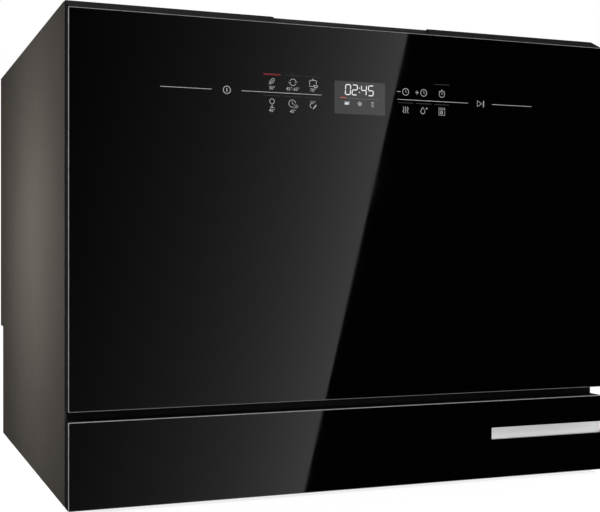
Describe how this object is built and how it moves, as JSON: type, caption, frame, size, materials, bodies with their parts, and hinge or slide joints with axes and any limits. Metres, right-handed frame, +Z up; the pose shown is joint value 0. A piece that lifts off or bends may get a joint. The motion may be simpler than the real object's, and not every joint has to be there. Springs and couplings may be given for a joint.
{
  "type": "countertop dishwasher",
  "caption": "Compact countertop dishwasher with a drop-down glass door, touch controls, pull-out rack, spray arm, filter and water works.",
  "frame": {"origin": "on the surface that the feet stand on, under the middle of the cabinet's box", "axes": "+X to the right as seen from the front, +Y from the door to the back, +Z up"},
  "size_m": [0.551, 0.5, 0.45],
  "materials": {
    "black_plastic": "moulded, fine grain",
    "brown_steel": "satin brown-grey enamel",
    "zinc_steel": "zinc plated sheet",
    "black_glass": "back-painted glass, polished edge",
    "bright_metal": "fine brushed, clear coated",
    "stainless": "satin stainless sheet",
    "felt": "pressed felt",
    "seal_rubber": "matt",
    "grey_plastic": "moulded polypropylene",
    "pump_metal": "coated motor body",
    "white_plastic": "moulded polypropylene",
    "board_green": "solder mask",
    "display": "smoked window",
    "blue_plastic": "moulded",
    "rack_coating": "nylon coated wire",
    "basket_plastic": "moulded"
  },
  "bodies": {
    "cabinet": {"base_tray": "black_plastic", "left_side_panel": "brown_steel", "right_side_panel": "brown_steel", "worktop": "brown_steel", "rear_cover_upper": "zinc_steel", "rear_cover_lower": "zinc_steel", "plinth_glass": "black_glass", "plinth_carrier": "black_plastic", "trim_strip": "bright_metal", "front_crossmember": "zinc_steel", "tub": "stainless", "tub_insulation": "felt", "door_gasket": "seal_rubber", "left_rail": "stainless", "right_rail": "stainless", "sump": "grey_plastic", "filter_plate": "stainless", "spray_feed": "grey_plastic", "circulation_pump": "pump_metal", "drain_pump": "grey_plastic", "drain_outlet": "black_plastic", "water_softener": "white_plastic", "inlet_valve": "white_plastic", "water_pocket": "white_plastic", "power_module": "black_plastic", "mains_gland": "black_plastic", "left_hinge_bracket": "zinc_steel", "right_hinge_bracket": "zinc_steel", "hinge_pins": "zinc_steel", "hinge_springs": "zinc_steel", "door_lock": "black_plastic", "cover_screws": "zinc_steel"},
    "door": {"door_glass": "black_glass", "door_frame": "black_plastic", "door_top_cap": "black_plastic", "door_inner_panel": "stainless", "door_insulation": "felt", "control_board": "board_green", "display_module": "display", "touch_springs": "zinc_steel", "dispenser_housing": "grey_plastic", "latch_striker": "zinc_steel"},
    "detergent_lid": {"detergent_lid": "blue_plastic"},
    "rinse_aid_cap": {"rinse_aid_cap": "blue_plastic"},
    "rack": {"rack_frame": "rack_coating", "rack_carriers": "grey_plastic"},
    "cup_shelf": {"cup_shelf": "rack_coating"},
    "folding_tines": {"folding_tines": "rack_coating"},
    "cutlery_basket": {"cutlery_basket": "basket_plastic"},
    "spray_arm": {"spray_arm": "grey_plastic"},
    "filter": {"filter_cylinder": "grey_plastic"},
    "salt_cap": {"salt_cap": "white_plastic"},
    "wheel_front_left": {"wheel_front_left": "grey_plastic"},
    "wheel_front_right": {"wheel_front_right": "grey_plastic"},
    "wheel_rear_left": {"wheel_rear_left": "grey_plastic"},
    "wheel_rear_right": {"wheel_rear_right": "grey_plastic"},
    "foot_front_left": {"foot_front_left": "seal_rubber"},
    "foot_front_right": {"foot_front_right": "seal_rubber"},
    "foot_rear_left": {"foot_rear_left": "seal_rubber"},
    "foot_rear_right": {"foot_rear_right": "seal_rubber"}
  },
  "joints": [
    {"name": "door_hinge", "type": "hinge", "parent": "cabinet", "child": "door", "pos_m": [0, -0.241, 0.0941], "axis": [1, 0, 0], "range_deg": [0, 90], "stiffness_Nm_per_rad": 3},
    {"name": "rack_slide", "type": "slide", "parent": "cabinet", "child": "rack", "axis": [0, -1, 0], "range_m": [0, 0.1886]},
    {"name": "detergent_lid_slide", "type": "slide", "parent": "door", "child": "detergent_lid", "axis": [0, 0, 1], "range_m": [0, 0.06]},
    {"name": "rinse_aid_cap_turn", "type": "hinge", "parent": "door", "child": "rinse_aid_cap", "pos_m": [0.047, -0.216, 0.23], "axis": [0, 1, 0], "range_deg": [0, 90]},
    {"name": "cup_shelf_fold", "type": "hinge", "parent": "rack", "child": "cup_shelf", "pos_m": [0.2097, 0, 0.264], "axis": [0, 1, 0], "range_deg": [0, 85]},
    {"name": "tine_fold", "type": "hinge", "parent": "rack", "child": "folding_tines", "pos_m": [0, -0.004, 0.1803], "axis": [-1, 0, 0], "range_deg": [0, 90]},
    {"name": "cutlery_basket_lift", "type": "slide", "parent": "rack", "child": "cutlery_basket", "axis": [0, 0, 1], "range_m": [0, 0.1]},
    {"name": "spray_arm_spin", "type": "hinge", "parent": "cabinet", "child": "spray_arm", "pos_m": [0, -0.003, 0.15], "axis": [0, 0, 1], "continuous": true},
    {"name": "filter_turn", "type": "hinge", "parent": "cabinet", "child": "filter", "pos_m": [0.095, -0.06, 0.129], "axis": [0, 0, 1], "range_deg": [0, 90]},
    {"name": "salt_cap_turn", "type": "hinge", "parent": "cabinet", "child": "salt_cap", "pos_m": [-0.14, 0.06, 0.129], "axis": [0, 0, 1], "range_deg": [0, 360]},
    {"name": "wheel_front_left_roll", "type": "hinge", "parent": "rack", "child": "wheel_front_left", "pos_m": [-0.233, 0.024, 0.184], "axis": [1, 0, 0], "range_deg": [0, 901]},
    {"name": "wheel_front_right_roll", "type": "hinge", "parent": "rack", "child": "wheel_front_right", "pos_m": [0.233, 0.024, 0.184], "axis": [1, 0, 0], "range_deg": [0, 901]},
    {"name": "wheel_rear_left_roll", "type": "hinge", "parent": "rack", "child": "wheel_rear_left", "pos_m": [-0.233, 0.164, 0.184], "axis": [1, 0, 0], "range_deg": [0, 901]},
    {"name": "wheel_rear_right_roll", "type": "hinge", "parent": "rack", "child": "wheel_rear_right", "pos_m": [0.233, 0.164, 0.184], "axis": [1, 0, 0], "range_deg": [0, 901]},
    {"name": "foot_front_left_turn", "type": "hinge", "parent": "cabinet", "child": "foot_front_left", "pos_m": [-0.2355, -0.175, 0], "axis": [0, 0, 1], "continuous": true},
    {"name": "foot_front_right_turn", "type": "hinge", "parent": "cabinet", "child": "foot_front_right", "pos_m": [0.2355, -0.175, 0], "axis": [0, 0, 1], "continuous": true},
    {"name": "foot_rear_left_turn", "type": "hinge", "parent": "cabinet", "child": "foot_rear_left", "pos_m": [-0.2355, 0.19, 0], "axis": [0, 0, 1], "continuous": true},
    {"name": "foot_rear_right_turn", "type": "hinge", "parent": "cabinet", "child": "foot_rear_right", "pos_m": [0.2355, 0.19, 0], "axis": [0, 0, 1], "continuous": true}
  ],
  "couplings": [
    {"joint": "rack_slide", "follows": "door_hinge", "m_per_rad": 0.12},
    {"joint": "wheel_front_left_roll", "follows": "door_hinge", "ratio": 10},
    {"joint": "wheel_front_right_roll", "follows": "door_hinge", "ratio": 10},
    {"joint": "wheel_rear_left_roll", "follows": "door_hinge", "ratio": 10},
    {"joint": "wheel_rear_right_roll", "follows": "door_hinge", "ratio": 10}
  ]
}
